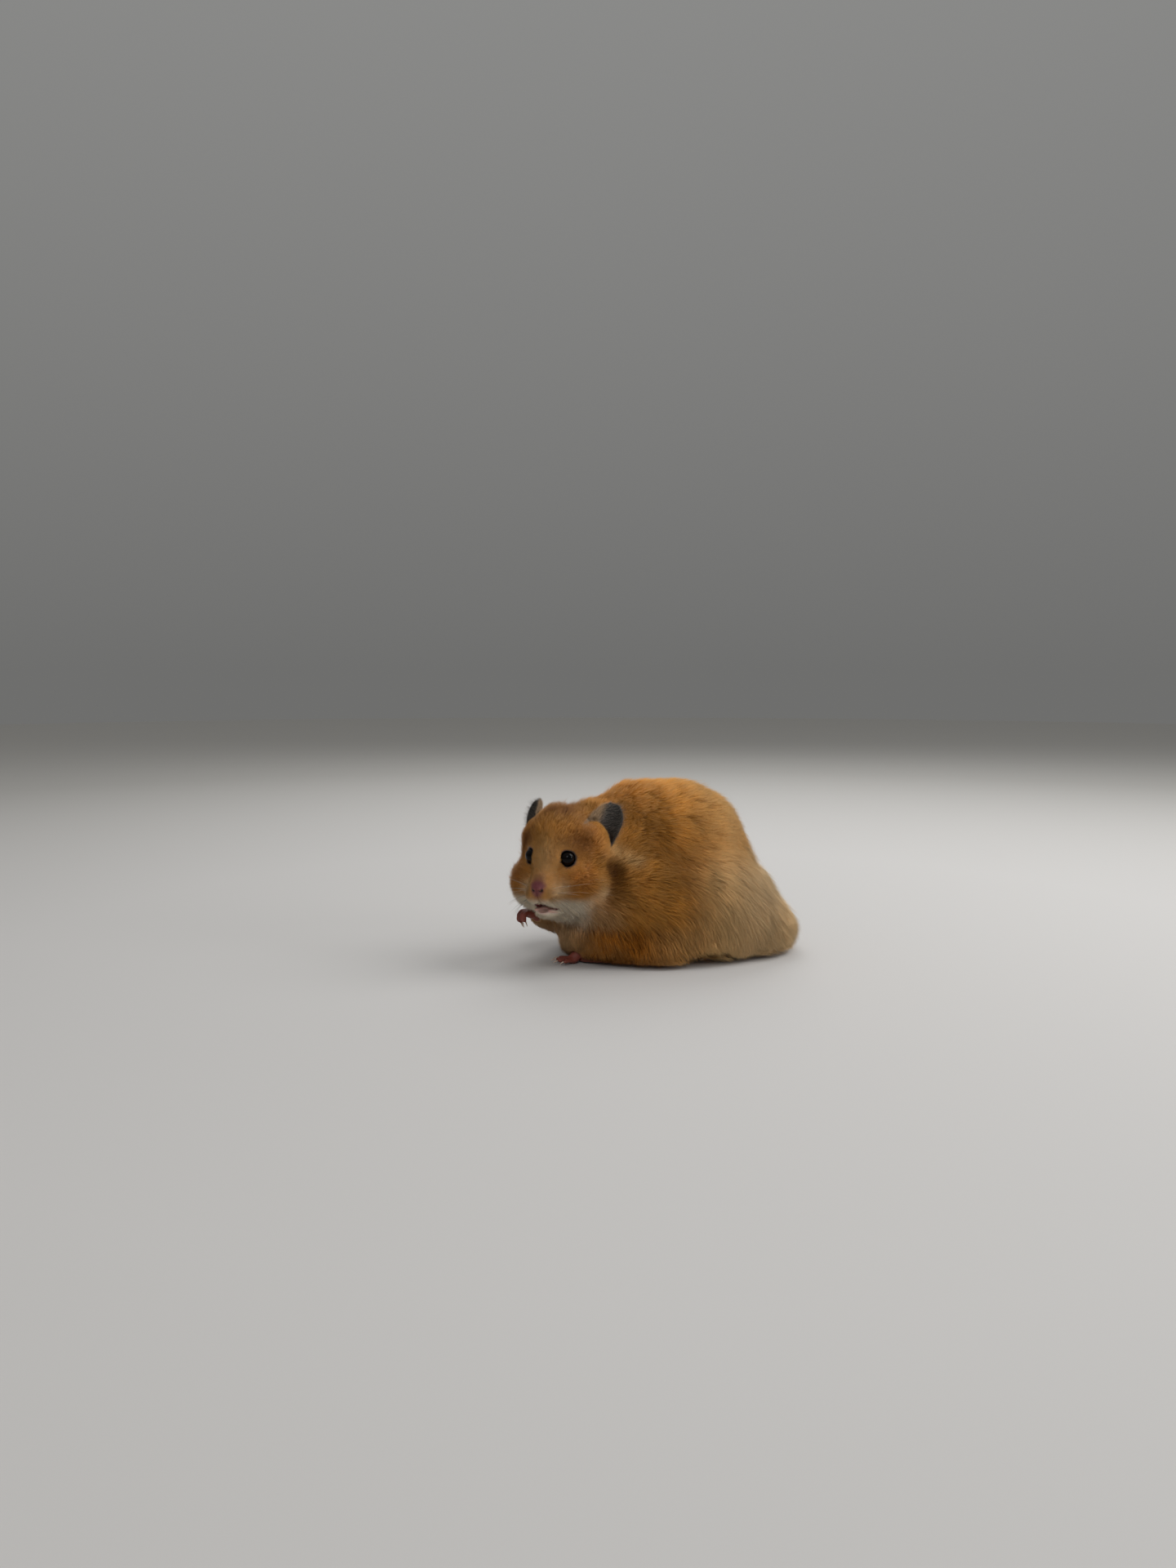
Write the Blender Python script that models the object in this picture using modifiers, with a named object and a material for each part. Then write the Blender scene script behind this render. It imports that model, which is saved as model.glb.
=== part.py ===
"""A long-haired Syrian hamster at life size, crouching with its head turned to its left and its right
forepaw lifted. The solids reach out to the tips of the coat. +Z is up, the trunk faces -Y and the
animal's left side is at +X; it stands on the plane Z = 0. All sizes are metres."""

import math

import bmesh
import bpy
from mathutils import Matrix, Vector

MM = 0.001
GAP = 0.3 * MM  # between solids that meet

# Driving sizes of the whole animal, coat included
BACK_TOP = 77.5  # millimetres
TRUNK_HALF_WIDTH = 38  # millimetres
EYE_HEIGHT = 48 * MM
HEAD_YAW = math.radians(51)  # from the trunk's own direction, towards the animal's left
EYE_LINE = Vector((23.5 * MM, -58.7 * MM, EYE_HEIGHT))  # midway between the eyes

# The head, measured from the middle of the eye line: forward, to its left and up
EYE_SPREAD = 8.1 * MM
EYE_RADIUS = 3.2 * MM
NOSE_TIP_FORWARD = 11.8 * MM
NOSE_HEIGHT = -12 * MM
MOUTH_HEIGHT = -20.5 * MM

EAR_LENGTH = 19 * MM
EAR_WIDTH = 14.4 * MM
EAR_WALL = 0.9 * MM
EAR_FRONT_REACH = 0.95  # how much wider the fold in front of the ear makes it on that side
EAR_FRONT_DROP = 4 * MM
EAR_FRONT_PULL = 4.5 * MM

WRIST_RADIUS = 2.3 * MM
DIGIT_RADIUS = 0.95 * MM
CLAW_LENGTH = 1.9 * MM
CLAW_RADIUS = 0.36 * MM

# How fine the meshes are
BODY_VOXEL = 1.1 * MM
BODY_TRIANGLES = 2160
PAW_VOXEL = 0.3 * MM
PAW_TRIANGLES = 340
PAW_ROOM = 0.5 * MM  # that the coat leaves round a paw

COLOURS = {  # linear base colour and roughness
    "coat_golden": ((0.47, 0.22, 0.07), 0.85),
    "coat_cream": ((0.62, 0.47, 0.31), 0.85),
    "bare_skin": ((0.52, 0.24, 0.21), 0.55),
    "ear_skin": ((0.13, 0.11, 0.11), 0.65),
    "eye": ((0.006, 0.005, 0.005), 0.08),
    "claw": ((0.62, 0.48, 0.40), 0.4),
}


# ---------------------------------------------------------------- small tools


def material(name):
    """One Principled material for each finish, made once."""
    found = bpy.data.materials.get(name)
    if found:
        return found
    colour, roughness = COLOURS[name]
    made = bpy.data.materials.new(name)
    made.use_nodes = True
    shader = made.node_tree.nodes["Principled BSDF"]
    shader.inputs["Base Color"].default_value = (*colour, 1)
    shader.inputs["Roughness"].default_value = roughness
    return made


def collection(name, shown=True):
    found = bpy.data.collections.get(name)
    if not found:
        found = bpy.data.collections.new(name)
        found.hide_render = not shown
        bpy.context.scene.collection.children.link(found)
    return found


def object_of(name, mesh, finish=None):
    """A part in the hamster's collection, or, with no finish, a helper that isn't part of it."""
    made = bpy.data.objects.new(name, mesh)
    if finish:
        collection("hamster").objects.link(made)
        mesh.materials.clear()
        mesh.materials.append(material(finish))
    else:
        collection("helpers", shown=False).objects.link(made)
        made.hide_render = True
        made.display_type = "WIRE"
    return made


def evaluated_mesh(made):
    """The object's mesh with its modifiers applied."""
    bpy.context.view_layer.update()
    graph = bpy.context.evaluated_depsgraph_get()
    return bpy.data.meshes.new_from_object(made.evaluated_get(graph))


def apply_modifiers(made):
    mesh = evaluated_mesh(made)
    made.modifiers.clear()
    made.data = mesh


def ellipsoid(bm, centre, radii, turn=None, detail=3):
    """Adds one ellipsoid to bm: its radii along its own axes, turned by the matrix turn."""
    place = Matrix.Translation(centre) @ (turn or Matrix.Identity(3)).to_4x4()
    place = place @ Matrix.Diagonal((*radii, 1))
    bmesh.ops.create_icosphere(bm, subdivisions=detail, radius=1, matrix=place)


def melted(name, shapes, voxel, smoothing, triangles):
    """Overlapping closed shapes made one smooth skin: remeshed, smoothed and thinned to a triangle count."""
    mesh = bpy.data.meshes.new(name)
    shapes.to_mesh(mesh)
    shapes.free()
    helper = object_of(name + "_shapes", mesh)
    remesh = helper.modifiers.new("one skin", "REMESH")
    remesh.mode = "VOXEL"
    remesh.voxel_size = voxel
    smooth = helper.modifiers.new("smooth", "SMOOTH")
    smooth.factor = 0.5
    smooth.iterations = smoothing
    apply_modifiers(helper)
    thin = helper.modifiers.new("thin", "DECIMATE")
    thin.ratio = triangles / (2 * len(helper.data.polygons))
    thin.use_collapse_triangulate = True
    apply_modifiers(helper)
    mesh = helper.data
    bpy.data.objects.remove(helper)
    return mesh


def world_box(made):
    points = [vertex.co for vertex in made.data.vertices]
    return [(min(p[i] for p in points), max(p[i] for p in points)) for i in range(3)]


def boxes_meet(first, second):
    pairs = zip(world_box(first), world_box(second))
    return all(low <= high_2 and low_2 <= high for (low, high), (low_2, high_2) in pairs)


def cut(made, operation, cutter):
    """One Boolean of a part and a closed helper, applied; nothing happens where they are clear of each other."""
    if operation == "DIFFERENCE" and not boxes_meet(made, cutter):
        return
    step = made.modifiers.new(cutter.name, "BOOLEAN")
    step.operation = operation
    step.object = cutter
    apply_modifiers(made)


def grown(other, gap=GAP):
    """A helper that is another part's skin, moved out by the gap."""
    helper = object_of(other.name + "_grown", other.data.copy())
    out = helper.modifiers.new("grow", "DISPLACE")
    out.strength = gap
    out.mid_level = 0
    apply_modifiers(helper)
    return helper


def keep_largest(made):
    """Drops the chips that a cut leaves beside the part itself."""
    bm = bmesh.new()
    bm.from_mesh(made.data)
    unseen = set(bm.verts)
    bodies = []
    while unseen:
        body = {unseen.pop()}
        edge = list(body)
        while edge:
            near = {link.other_vert(vertex) for vertex in edge for link in vertex.link_edges}
            edge = list(near & unseen)
            body.update(edge)
            unseen.difference_update(edge)
        bodies.append(body)
    bodies.sort(key=len)
    chips = [vertex for body in bodies[:-1] for vertex in body]
    bmesh.ops.delete(bm, geom=chips, context="VERTS")
    bm.to_mesh(made.data)
    bm.free()


def floor_cutter():
    """Everything below the plane that the animal stands on."""
    bm = bmesh.new()
    size = Matrix.Diagonal((400 * MM, 400 * MM, 40 * MM, 1))
    bmesh.ops.create_cube(bm, size=1, matrix=Matrix.Translation((0, 0, -20 * MM)) @ size)
    mesh = bpy.data.meshes.new("floor_cutter")
    bm.to_mesh(mesh)
    bm.free()
    return object_of("floor_cutter", mesh)


# ---------------------------------------------------------------- the body, modelled whole

HEAD_FORWARD = Vector((math.sin(HEAD_YAW), -math.cos(HEAD_YAW), 0))
HEAD_LEFT = Vector((math.cos(HEAD_YAW), math.sin(HEAD_YAW), 0))
UP = Vector((0, 0, 1))
HEAD_TURN = Matrix((HEAD_FORWARD, HEAD_LEFT, UP)).transposed()


def on_head(forward, left, up):
    """A point given in the head's own directions, from the middle of the eye line."""
    return EYE_LINE + HEAD_FORWARD * forward + HEAD_LEFT * left + UP * up


# Each mass: centre, then its radii, in millimetres. The trunk's are in the animal's own axes (left,
# back, up); the head's are in its own directions (forward, left, up) from the middle of the eye line.
TRUNK_MASSES = {
    "back": ((0, -1, BACK_TOP - 33.5), (28.5, 35.7, 33.5)),
    "shoulders": ((1, -17, 41), (25, 23, 37)),
    "nape": ((8, -38, 49), (16, 16, 23)),
    "skirt": ((0, -1, 6), (TRUNK_HALF_WIDTH, 44, 18)),
    "rump": ((0, 17, 32), (26, 20.5, 35)),
    "rump_slope": ((0, 27, 22), (26.5, 20.5, 24)),
    "rump_low": ((0, 33, 16), (27.5, 21, 17)),
    "rump_skirt": ((0, 34.5, 10.5), (31, 24.8, 16)),
    "chest": ((7, -36, 20), (20, 19, 24)),
}
PAIRED_TRUNK_MASSES = {  # mirrored to both sides
    "haunch": ((14, 16, 22), (21.5, 27, 28)),
    "flank": ((12, 1, 24), (23.5, 30, 28)),
    "ribs": ((12, -14, 26), (22.5, 26, 27)),
    "upper_arm": ((17, -33, 19), (15, 15, 20)),
}
HEAD_MASSES = {
    "cranium": ((-13, 0, 3.5), (17.5, 17, 18.5)),
    "brow": ((-2.5, 0, -1), (10, 9.5, 8.5)),
    "bridge": ((3, 0, -7), (7.5, 6.5, 5)),
    "muzzle": ((3.8, 0, -12.5), (7.8, 7.8, 7)),
    "lower_jaw": ((1.5, 0, -22), (7.6, 7, 4.8)),
    "throat": ((-10, 0, -18), (14, 14, 12)),
    "neck": ((-25, 0, -7), (17, 20, 22)),
}
PAIRED_HEAD_MASSES = {
    "cheek": ((-8, 11, -12.5), (13, 12, 12.8)),
    "temple": ((-13.5, 9.5, 2.5), (12.5, 11, 14)),
    "whisker_pad": ((5, 3.8, -15), (6.2, 5, 5)),
    "ruff": ((-21, 9.5, -15), (13, 13, 16)),
}
LEG_MASSES = {
    "left_forearm": ((13, -41.5, 8), (8, 8, 10)),
    "right_forearm": ((-3, -52, 18), (7.5, 12, 7.5)),
}


def add_masses(bm, masses, paired, place, turn):
    for centre, radii in masses.values():
        ellipsoid(bm, place(*[c * MM for c in centre]), [r * MM for r in radii], turn)
    for centre, radii in paired.values():
        for side in (1, -1):
            sides = [c * MM for c in centre]
            sides[side_axis(place)] *= side
            ellipsoid(bm, place(*sides), [r * MM for r in radii], turn)


def side_axis(place):
    """Which of the three numbers runs to the animal's left."""
    return 1 if place is on_head else 0


def in_trunk(left, back, up):
    return Vector((left, back, up))


def whole_body():
    """The furred body without its paws, ears, eyes and nose: a well-rounded trunk, then the finer head on it."""
    bm = bmesh.new()
    add_masses(bm, TRUNK_MASSES, PAIRED_TRUNK_MASSES, in_trunk, None)
    trunk = melted("trunk_masses", bm, 2 * BODY_VOXEL, 30, 2 * BODY_TRIANGLES)
    bm = bmesh.new()
    bm.from_mesh(trunk)
    add_masses(bm, LEG_MASSES, {}, in_trunk, None)
    add_masses(bm, HEAD_MASSES, PAIRED_HEAD_MASSES, on_head, HEAD_TURN)
    return melted("whole", bm, BODY_VOXEL, 9, BODY_TRIANGLES)


# Where the whole body is parted: rounded regions, as centre and radii in millimetres
REGIONS = {
    "head": (on_head, (-6, 0, -4), (25, 26, 27.5)),
    "foreleg_left": (in_trunk, (13, -45, 9), (11, 13, 14)),
    "foreleg_right": (in_trunk, (-6, -54, 15), (12, 16, 11)),
    "neck": (on_head, (-22, 0, -6), (20, 30, 30)),
    "hindleg_left": (in_trunk, (28, 18, 14), (17, 22, 21)),
    "hindleg_right": (in_trunk, (-28, 18, 14), (17, 22, 21)),
    "tail": (in_trunk, (0, 56, 9), (7, 13, 7)),
}
# The coat arches over each hind foot: the left side's hollow, on the floor
FOOT_HOLLOW = ((30, 10, 0), (19, 14, 7.5))


def round_cutter(name, centre, radii, turn=None, extra=0.0, detail=2):
    """An ellipsoid given in millimetres, to cut with."""
    bm = bmesh.new()
    ellipsoid(bm, centre, [r * MM + extra for r in radii], turn, detail)
    mesh = bpy.data.meshes.new(name)
    bm.to_mesh(mesh)
    bm.free()
    return object_of(name, mesh)


def region_cutter(name, extra=0.0):
    place, centre, radii = REGIONS[name]
    turn = HEAD_TURN if place is on_head else None
    return round_cutter(name + "_region", place(*[c * MM for c in centre]), radii, turn, extra)


def foot_hollow(side):
    (left, back, up), radii = FOOT_HOLLOW
    return round_cutter("foot_hollow", Vector((side * left, back, up)) * MM, radii)


def body_parts(whole, floor):
    """Parts the whole body at rounded cuts, each GAP wide; the trunk is what is left."""
    parts = {}
    taken = []
    for name in (*REGIONS, "trunk"):
        part = object_of(name, whole.copy(), "coat_golden")
        if name in REGIONS:
            cut(part, "INTERSECT", region_cutter(name))
        for other in taken:
            cut(part, "DIFFERENCE", region_cutter(other, GAP))
        cut(part, "DIFFERENCE", floor)
        parts[name] = part
        if name != "trunk":
            taken.append(name)
    return parts


# ---------------------------------------------------------------- eyes, nose, mouth, ears


def eye(side, name):
    bm = bmesh.new()
    turn = HEAD_TURN.to_4x4()
    place = Matrix.Translation(on_head(0, side * EYE_SPREAD, 0)) @ turn
    bmesh.ops.create_uvsphere(bm, u_segments=14, v_segments=8, radius=EYE_RADIUS, matrix=place)
    mesh = bpy.data.meshes.new(name)
    bm.to_mesh(mesh)
    bm.free()
    mesh.shade_smooth()
    return object_of(name, mesh, "eye")


def nose():
    """The bare pad at the muzzle's tip, with a wing over each nostril."""
    bm = bmesh.new()
    tip = NOSE_TIP_FORWARD
    ellipsoid(bm, on_head(tip - 2.2 * MM, 0, NOSE_HEIGHT), (2.4 * MM, 2.6 * MM, 2.1 * MM), HEAD_TURN)
    for side in (1, -1):
        wing = on_head(tip - 2.6 * MM, side * 1.7 * MM, NOSE_HEIGHT - 0.5 * MM)
        ellipsoid(bm, wing, (1.8 * MM, 1.4 * MM, 1.5 * MM), HEAD_TURN)
    mesh = melted("nose", bm, 0.35 * MM, 4, 180)
    return object_of("nose", mesh, "bare_skin")


def mouth_cutter():
    """A low lens, which opens the mouth between the upper lip and the lower jaw."""
    middle = on_head(8.2 * MM, 0, MOUTH_HEIGHT)
    return round_cutter("mouth", middle, (5.5, 4.6, 1.1), HEAD_TURN, detail=1)


# The ear's root and tip on the left side, in the head's directions
EAR_ROOT = Vector((-17.5, 15, 3.8)) * MM
EAR_TIP = Vector((-22.5, 19.6, 22.3)) * MM
EAR_FACES = Vector((0.88, 0.47, 0.1))  # the way the left ear's hollow looks


def ear_half_width(along):
    """Half the pinna's width at a share of its length from the root: broad, then rounded to the tip."""
    return 0.5 * EAR_WIDTH * (0.62 + 0.9 * along - 0.62 * along**2) * math.sqrt(max(0.0, 1 - along**4))


def ear_front(across, along):
    """How far a point belongs to the wide fold in front of the ear, which runs down to the temple."""
    return max(0.0, -across) * math.exp(-(((along - 0.42) / 0.22) ** 2))


def ear(side, name):
    """A cupped leaf, solid by its wall, closed round at the tip and curled in at the root."""
    rows, columns = 8, 6
    root, tip, faces = EAR_ROOT.copy(), EAR_TIP.copy(), EAR_FACES.normalized()
    for vector in (root, tip, faces):
        vector.y *= side
    along = (tip - root).normalized()
    faces = (faces - along * faces.dot(along)).normalized()
    across = along.cross(faces)
    bm = bmesh.new()
    bmesh.ops.create_grid(bm, x_segments=columns, y_segments=rows, size=1)
    for vertex in bm.verts:
        share = 0.97 * (vertex.co.y + 1) / 2
        half = ear_half_width(share)
        curl = 1.25 - 0.75 * share  # radians each side of the middle
        radius = half / curl
        angle = vertex.co.x * curl
        front = ear_front(vertex.co.x * side, share)
        radius *= 1 + EAR_FRONT_REACH * front
        hollow = radius * (1 - math.cos(angle))
        lean = 1.6 * MM * share**2  # the tip leans back
        place = root + along * (share * EAR_LENGTH - EAR_FRONT_DROP * front)
        place += across * (radius * math.sin(angle)) + faces * (hollow - lean + EAR_FRONT_PULL * front)
        vertex.co = on_head(*place)
    mesh = bpy.data.meshes.new(name)
    bm.to_mesh(mesh)
    bm.free()
    made = object_of(name, mesh, "ear_skin")
    wall = made.modifiers.new("wall", "SOLIDIFY")
    wall.thickness = EAR_WALL
    wall.offset = 0
    mesh.shade_smooth()
    return made


# ---------------------------------------------------------------- paws and claws


class Paw:
    """One paw: where its palm lies, which way it points, and how its digits spread and curl."""

    def __init__(self, name, palm, heading, pitch, digits, spread, length, curl, palm_radii, wrist, thick=1.0):
        self.name = name
        self.palm = Vector(palm) * MM
        self.digits = digits
        self.spread = math.radians(spread)
        self.length = length * MM
        self.digit_radius = thick * DIGIT_RADIUS
        self.curl = math.radians(curl)
        self.palm_radii = [r * MM for r in palm_radii]
        self.wrist = Vector(wrist) * MM
        yaw = Matrix.Rotation(math.radians(heading), 3, "Z")
        tilt = Matrix.Rotation(math.radians(-pitch), 3, "X")
        self.turn = yaw @ tilt  # its own -Y is where it points

    def digit_path(self, number):
        """Points from the palm's edge to the digit's tip, bending down evenly by the curl."""
        share = number / (self.digits - 1) - 0.5
        middle = 1 - 0.9 * share**2
        steps = 9
        angle = share * self.spread
        start = Vector((share * 1.55 * self.palm_radii[0], -0.62 * self.palm_radii[1] * middle, 0))
        points = [start]
        for step in range(steps):
            down = self.curl * (step + 1) / steps - math.radians(8)
            ahead = Vector((math.sin(angle) * math.cos(down), -math.cos(angle) * math.cos(down), -math.sin(down)))
            points.append(points[-1] + ahead * self.length * middle / steps)
        return [self.palm + self.turn @ point for point in points]

    def mesh(self, extra=0.0, voxel=PAW_VOXEL, triangles=PAW_TRIANGLES):
        """The paw's skin, or with extra, a plainer form that much larger all round."""
        bm = bmesh.new()
        ellipsoid(bm, self.palm, [r + extra for r in self.palm_radii], self.turn)
        for number in range(self.digits):
            path = self.digit_path(number)
            for step, point in enumerate(path):
                share = step / (len(path) - 1)
                swell = 1 - 0.22 * share + 0.16 * math.exp(-((share - 0.86) / 0.14) ** 2)
                ellipsoid(bm, point, [self.digit_radius * swell + extra] * 3, detail=2)
        steps = 8
        for step in range(steps + 1):
            point = self.palm.lerp(self.wrist, step / steps)
            ellipsoid(bm, point, [WRIST_RADIUS + extra] * 3, detail=2)
        return melted(self.name, bm, voxel, 3, triangles)

    def claw(self, number):
        """A small curved cone, GAP beyond the digit's tip."""
        path = self.digit_path(number)
        ahead = (path[-1] - path[-2]).normalized()
        tip_reach = self.digit_radius * 0.93
        rings, sides = 4, 7
        start = path[-1] + ahead * (tip_reach + 0.1 * MM) + UP * 0.25 * MM
        bm = bmesh.new()
        turn = ahead.to_track_quat("Z", "Y").to_matrix().to_4x4()
        bmesh.ops.create_cone(
            bm, cap_ends=True, segments=sides, radius1=CLAW_RADIUS, radius2=0.12 * MM, depth=CLAW_LENGTH,
            matrix=Matrix.Translation(start + ahead * CLAW_LENGTH / 2) @ turn,
        )
        sides_edges = [e for e in bm.edges if abs((e.verts[1].co - e.verts[0].co).dot(ahead)) > CLAW_LENGTH / 2]
        bmesh.ops.subdivide_edges(bm, edges=sides_edges, cuts=rings - 2)
        for vertex in bm.verts:
            share = (vertex.co - start).dot(ahead) / CLAW_LENGTH
            vertex.co.z -= 0.45 * MM * share**2
        mesh = bpy.data.meshes.new(f"claw_{self.name}_{number + 1}")
        bm.to_mesh(mesh)
        bm.free()
        return object_of(mesh.name, mesh, "claw")


PAWS = [
    Paw("forepaw_left", (15, -47.5, 1.9), 4, 0, 4, 62, 4.6, 14, (2.9, 3.1, 1.7), (15, -43, 6)),
    Paw("forepaw_right", (1.8, -63.8, 20), 14, 22, 4, 30, 6.6, 150, (3.1, 3.2, 2.3), (-0.5, -60, 18.5), 1.2),
    Paw("hindfoot_left", (20.5, 14, 1.9), 12, 0, 5, 58, 5.0, 12, (3.5, 7.5, 1.8), (23, 24, 6)),
    Paw("hindfoot_right", (-20.5, 14, 1.9), -12, 0, 5, 58, 5.0, 12, (3.5, 7.5, 1.8), (-23, 24, 6)),
]


# ---------------------------------------------------------------- the hamster


def centre_over_origin():
    """Moves every part alike, so that the middle of the whole animal's box is at X = Y = 0."""
    made = bpy.data.collections["hamster"].objects
    bpy.context.view_layer.update()
    corners = [one.matrix_world @ Vector(corner) for one in made for corner in one.bound_box]
    for axis in (0, 1):
        values = [corner[axis] for corner in corners]
        middle = (min(values) + max(values)) / 2
        for one in made:
            one.location[axis] -= middle


def main():
    for old in list(bpy.data.objects):
        bpy.data.objects.remove(old)
    floor = floor_cutter()
    parts = body_parts(whole_body(), floor)

    eyes = [eye(1, "eye_left"), eye(-1, "eye_right")]
    ears = [ear(1, "ear_left"), ear(-1, "ear_right")]
    pad = nose()
    for other in (*eyes, pad):
        cut(parts["head"], "DIFFERENCE", grown(other))
    cut(parts["head"], "DIFFERENCE", mouth_cutter())
    for other in ears:
        apply_modifiers(other)
        for part in ("head", "neck", "trunk"):
            cut(parts[part], "DIFFERENCE", grown(other))

    for side, leg in ((1, "hindleg_left"), (-1, "hindleg_right")):
        for part in (leg, "trunk"):
            cut(parts[part], "DIFFERENCE", foot_hollow(side))

    for paw in PAWS:
        made = object_of(paw.name, paw.mesh(), "bare_skin")
        cut(made, "DIFFERENCE", floor)
        side = paw.name.split("_")[1]
        clearance = object_of(paw.name + "_room", paw.mesh(PAW_ROOM, 2 * PAW_VOXEL, 120))
        for part in ("foreleg_" + side, "hindleg_" + side, "trunk", "neck", "head"):
            cut(parts[part], "DIFFERENCE", clearance)
        for number in range(paw.digits):
            paw.claw(number)
    for part in parts.values():
        keep_largest(part)
    centre_over_origin()


main()
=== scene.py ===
"""The looks of a life-size, long-haired Syrian hamster: one skin under a coat of mesh locks, glossy
eyes, whiskers, a moist nose and bare paws.

It stands on the plane Z = 0 with its trunk facing -Y. Sizes in the tables are millimetres. Places on
the head are given forward, to its left and up, from the middle of the line between its eyes."""

import math

import bmesh
import bpy
import numpy as np
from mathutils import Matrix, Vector
from mathutils.bvhtree import BVHTree
from mathutils.kdtree import KDTree


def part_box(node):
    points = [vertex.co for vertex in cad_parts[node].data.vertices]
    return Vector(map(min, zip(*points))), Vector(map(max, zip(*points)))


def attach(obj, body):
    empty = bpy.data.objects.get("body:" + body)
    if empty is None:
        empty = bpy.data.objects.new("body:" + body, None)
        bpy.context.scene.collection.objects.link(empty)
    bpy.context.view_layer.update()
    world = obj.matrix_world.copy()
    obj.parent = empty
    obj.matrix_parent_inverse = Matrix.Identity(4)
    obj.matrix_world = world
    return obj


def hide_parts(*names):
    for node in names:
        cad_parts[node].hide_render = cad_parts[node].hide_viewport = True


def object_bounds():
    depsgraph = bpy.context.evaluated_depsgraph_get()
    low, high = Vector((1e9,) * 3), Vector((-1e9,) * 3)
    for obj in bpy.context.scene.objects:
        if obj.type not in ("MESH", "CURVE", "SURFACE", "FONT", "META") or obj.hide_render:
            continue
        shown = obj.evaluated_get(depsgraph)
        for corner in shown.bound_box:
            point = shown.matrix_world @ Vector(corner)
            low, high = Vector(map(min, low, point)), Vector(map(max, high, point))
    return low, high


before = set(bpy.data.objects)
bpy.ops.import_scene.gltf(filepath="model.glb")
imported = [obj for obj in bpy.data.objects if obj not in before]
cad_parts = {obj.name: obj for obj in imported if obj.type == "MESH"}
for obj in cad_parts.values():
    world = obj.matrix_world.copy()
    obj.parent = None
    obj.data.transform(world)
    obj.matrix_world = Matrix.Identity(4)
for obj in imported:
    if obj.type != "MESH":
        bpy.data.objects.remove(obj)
CAD_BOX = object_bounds()
MM = 0.001

PAWS = ("forepaw_left", "forepaw_right", "hindfoot_left", "hindfoot_right")
EARS = ("ear_left", "ear_right")
FURRED = (
    "head", "neck", "trunk", "tail", "foreleg_left", "foreleg_right", "hindleg_left", "hindleg_right",
)
FLESH = (*FURRED, "nose", *EARS, *PAWS)

# ---------------------------------------------------------------- places on the animal


def middle(node):
    low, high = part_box(node)
    return (low + high) / 2


EYE_LINE = (middle("eye_left") + middle("eye_right")) / 2
HEAD_LEFT = (middle("eye_left") - middle("eye_right")).normalized()
HEAD_UP = Vector((0, 0, 1))
HEAD_FORWARD = HEAD_LEFT.cross(HEAD_UP)
HEAD_AXES = np.array((HEAD_FORWARD, HEAD_LEFT, HEAD_UP))
EYE_RADIUS = (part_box("eye_left")[1].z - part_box("eye_left")[0].z) / 2 / MM


def to_head(points):
    """World metres to the head's own millimetres."""
    return (points - np.array(EYE_LINE)) @ HEAD_AXES.T / MM


def from_head(places):
    """The head's own millimetres to world metres."""
    return np.array(EYE_LINE) + np.asarray(places, float) @ HEAD_AXES * MM


NOSE = to_head(np.array(middle("nose")))
EYE_SPREAD = to_head(np.array(middle("eye_left")))[1]
EYE_LOOKS = np.array((0.62, 0.76, 0.12))  # the way the left eye looks
MOUTH = np.array((9.0, 0, -20.5))
LOWER_LIP = MOUTH - (1, 0, 1.3)
LOWER_LIP_REACH = (6, 4.2, 1.3)
EAR_MIDDLE = np.array((-20.0, 17.3, 13.0))
EAR_ACROSS = np.array((-0.41, 0.84, -0.35))  # from the left ear's front fold to its rear rim
EAR_UP = np.array((-0.26, 0.26, 0.93))
EAR_FACES = np.array((0.88, 0.47, 0.1))  # the way the left ear's hollow looks


def step(value, start, end):
    """0 before start and 1 after end, smoothly; start may be the larger."""
    share = np.clip((value - start) / (end - start), 0, 1)
    return share * share * (3 - 2 * share)


def spot(places, centre, radii):
    """1 at the centre, falling off smoothly at about the radii."""
    return np.exp(-(((places - np.asarray(centre)) / np.asarray(radii)) ** 2).sum(1))


def both_sides(places):
    """The places with their left number made positive, for markings alike on both sides."""
    folded = places.copy()
    folded[:, 1] = np.abs(folded[:, 1])
    return folded


def from_eye(places):
    """Millimetres from the middle of the nearer eye."""
    return np.linalg.norm(both_sides(places) - (0, EYE_SPREAD, 0), axis=1)


def from_nose(places):
    """Millimetres from the middle of the nose; less up the bridge, where the bare skin runs on."""
    far = np.linalg.norm(places - NOSE, axis=1)
    return far * np.where(places[:, 2] > NOSE[2], 1 - 0.15 * step(places[:, 2], NOSE[2], NOSE[2] + 2), 1)


def on_fold(places):
    """1 on the fold in front of either ear."""
    return step((both_sides(places) - EAR_MIDDLE) @ -EAR_ACROSS, 3.2, 5.5)


def hollow_side(places, normals):
    """From 1 in an ear's hollow to -1 on the ear's back."""
    faces = normals @ HEAD_AXES.T * EAR_FACES
    faces[:, 1] *= np.sign(places[:, 1])
    return faces.sum(1)


def head_share(places):
    """How far a place belongs to the head, from 0 on the trunk to 1 on the face."""
    forward, _, up = places.T
    return step(forward, -33, -20) * step(up, -36, -27)


def spiky(places):
    """The tousled hair between the ears, which stands up."""
    return spot(both_sides(places), (-17, 8, 17), (5, 6, 5))


def waves(points, size, seed):
    """Smooth noise from -1 to 1 whose bumps are about size millimetres across."""
    draw = np.random.default_rng(seed)
    turns = draw.normal(size=(7, 3))
    turns /= np.linalg.norm(turns, axis=1)[:, None]
    turns *= draw.uniform(0.6, 1.5, (7, 1)) * math.pi / (size * MM)
    return np.sin(points @ turns.T + draw.uniform(0, 2 * math.pi, 7)).sum(1) / 3.4


def unit(vectors):
    return vectors / np.maximum(np.linalg.norm(vectors, axis=1), 1e-9)[:, None]


# ---------------------------------------------------------------- colours


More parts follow.
